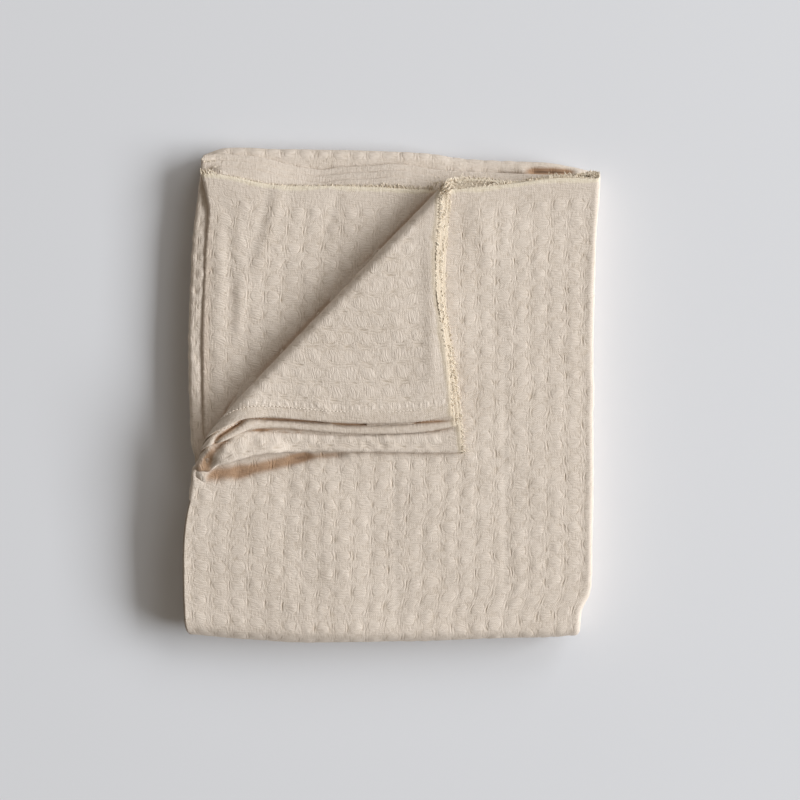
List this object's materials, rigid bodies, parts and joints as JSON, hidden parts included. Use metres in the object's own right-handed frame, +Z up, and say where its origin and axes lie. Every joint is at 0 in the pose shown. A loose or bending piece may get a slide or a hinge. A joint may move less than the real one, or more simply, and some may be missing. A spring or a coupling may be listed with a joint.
{
  "type": "folded linen waffle blanket",
  "caption": "Waffle-weave linen blanket folded hem to hem and selvedge to selvedge into a soft flat packet, a corner of its top turned back; lies on a bed or shelf.",
  "frame": {"origin": "on the surface the packet lies on, under the middle of its box", "axes": "+Z up through the layers, +Y along the packet from the rounded front fold towards the selvedges, +X to the right seen from above"},
  "size_m": [0.3116, 0.3764, 0.0462],
  "materials": {
    "linen": "matte undyed waffle-weave linen"
  },
  "bodies": {
    "root": {"blanket": "linen"}
  },
  "joints": []
}
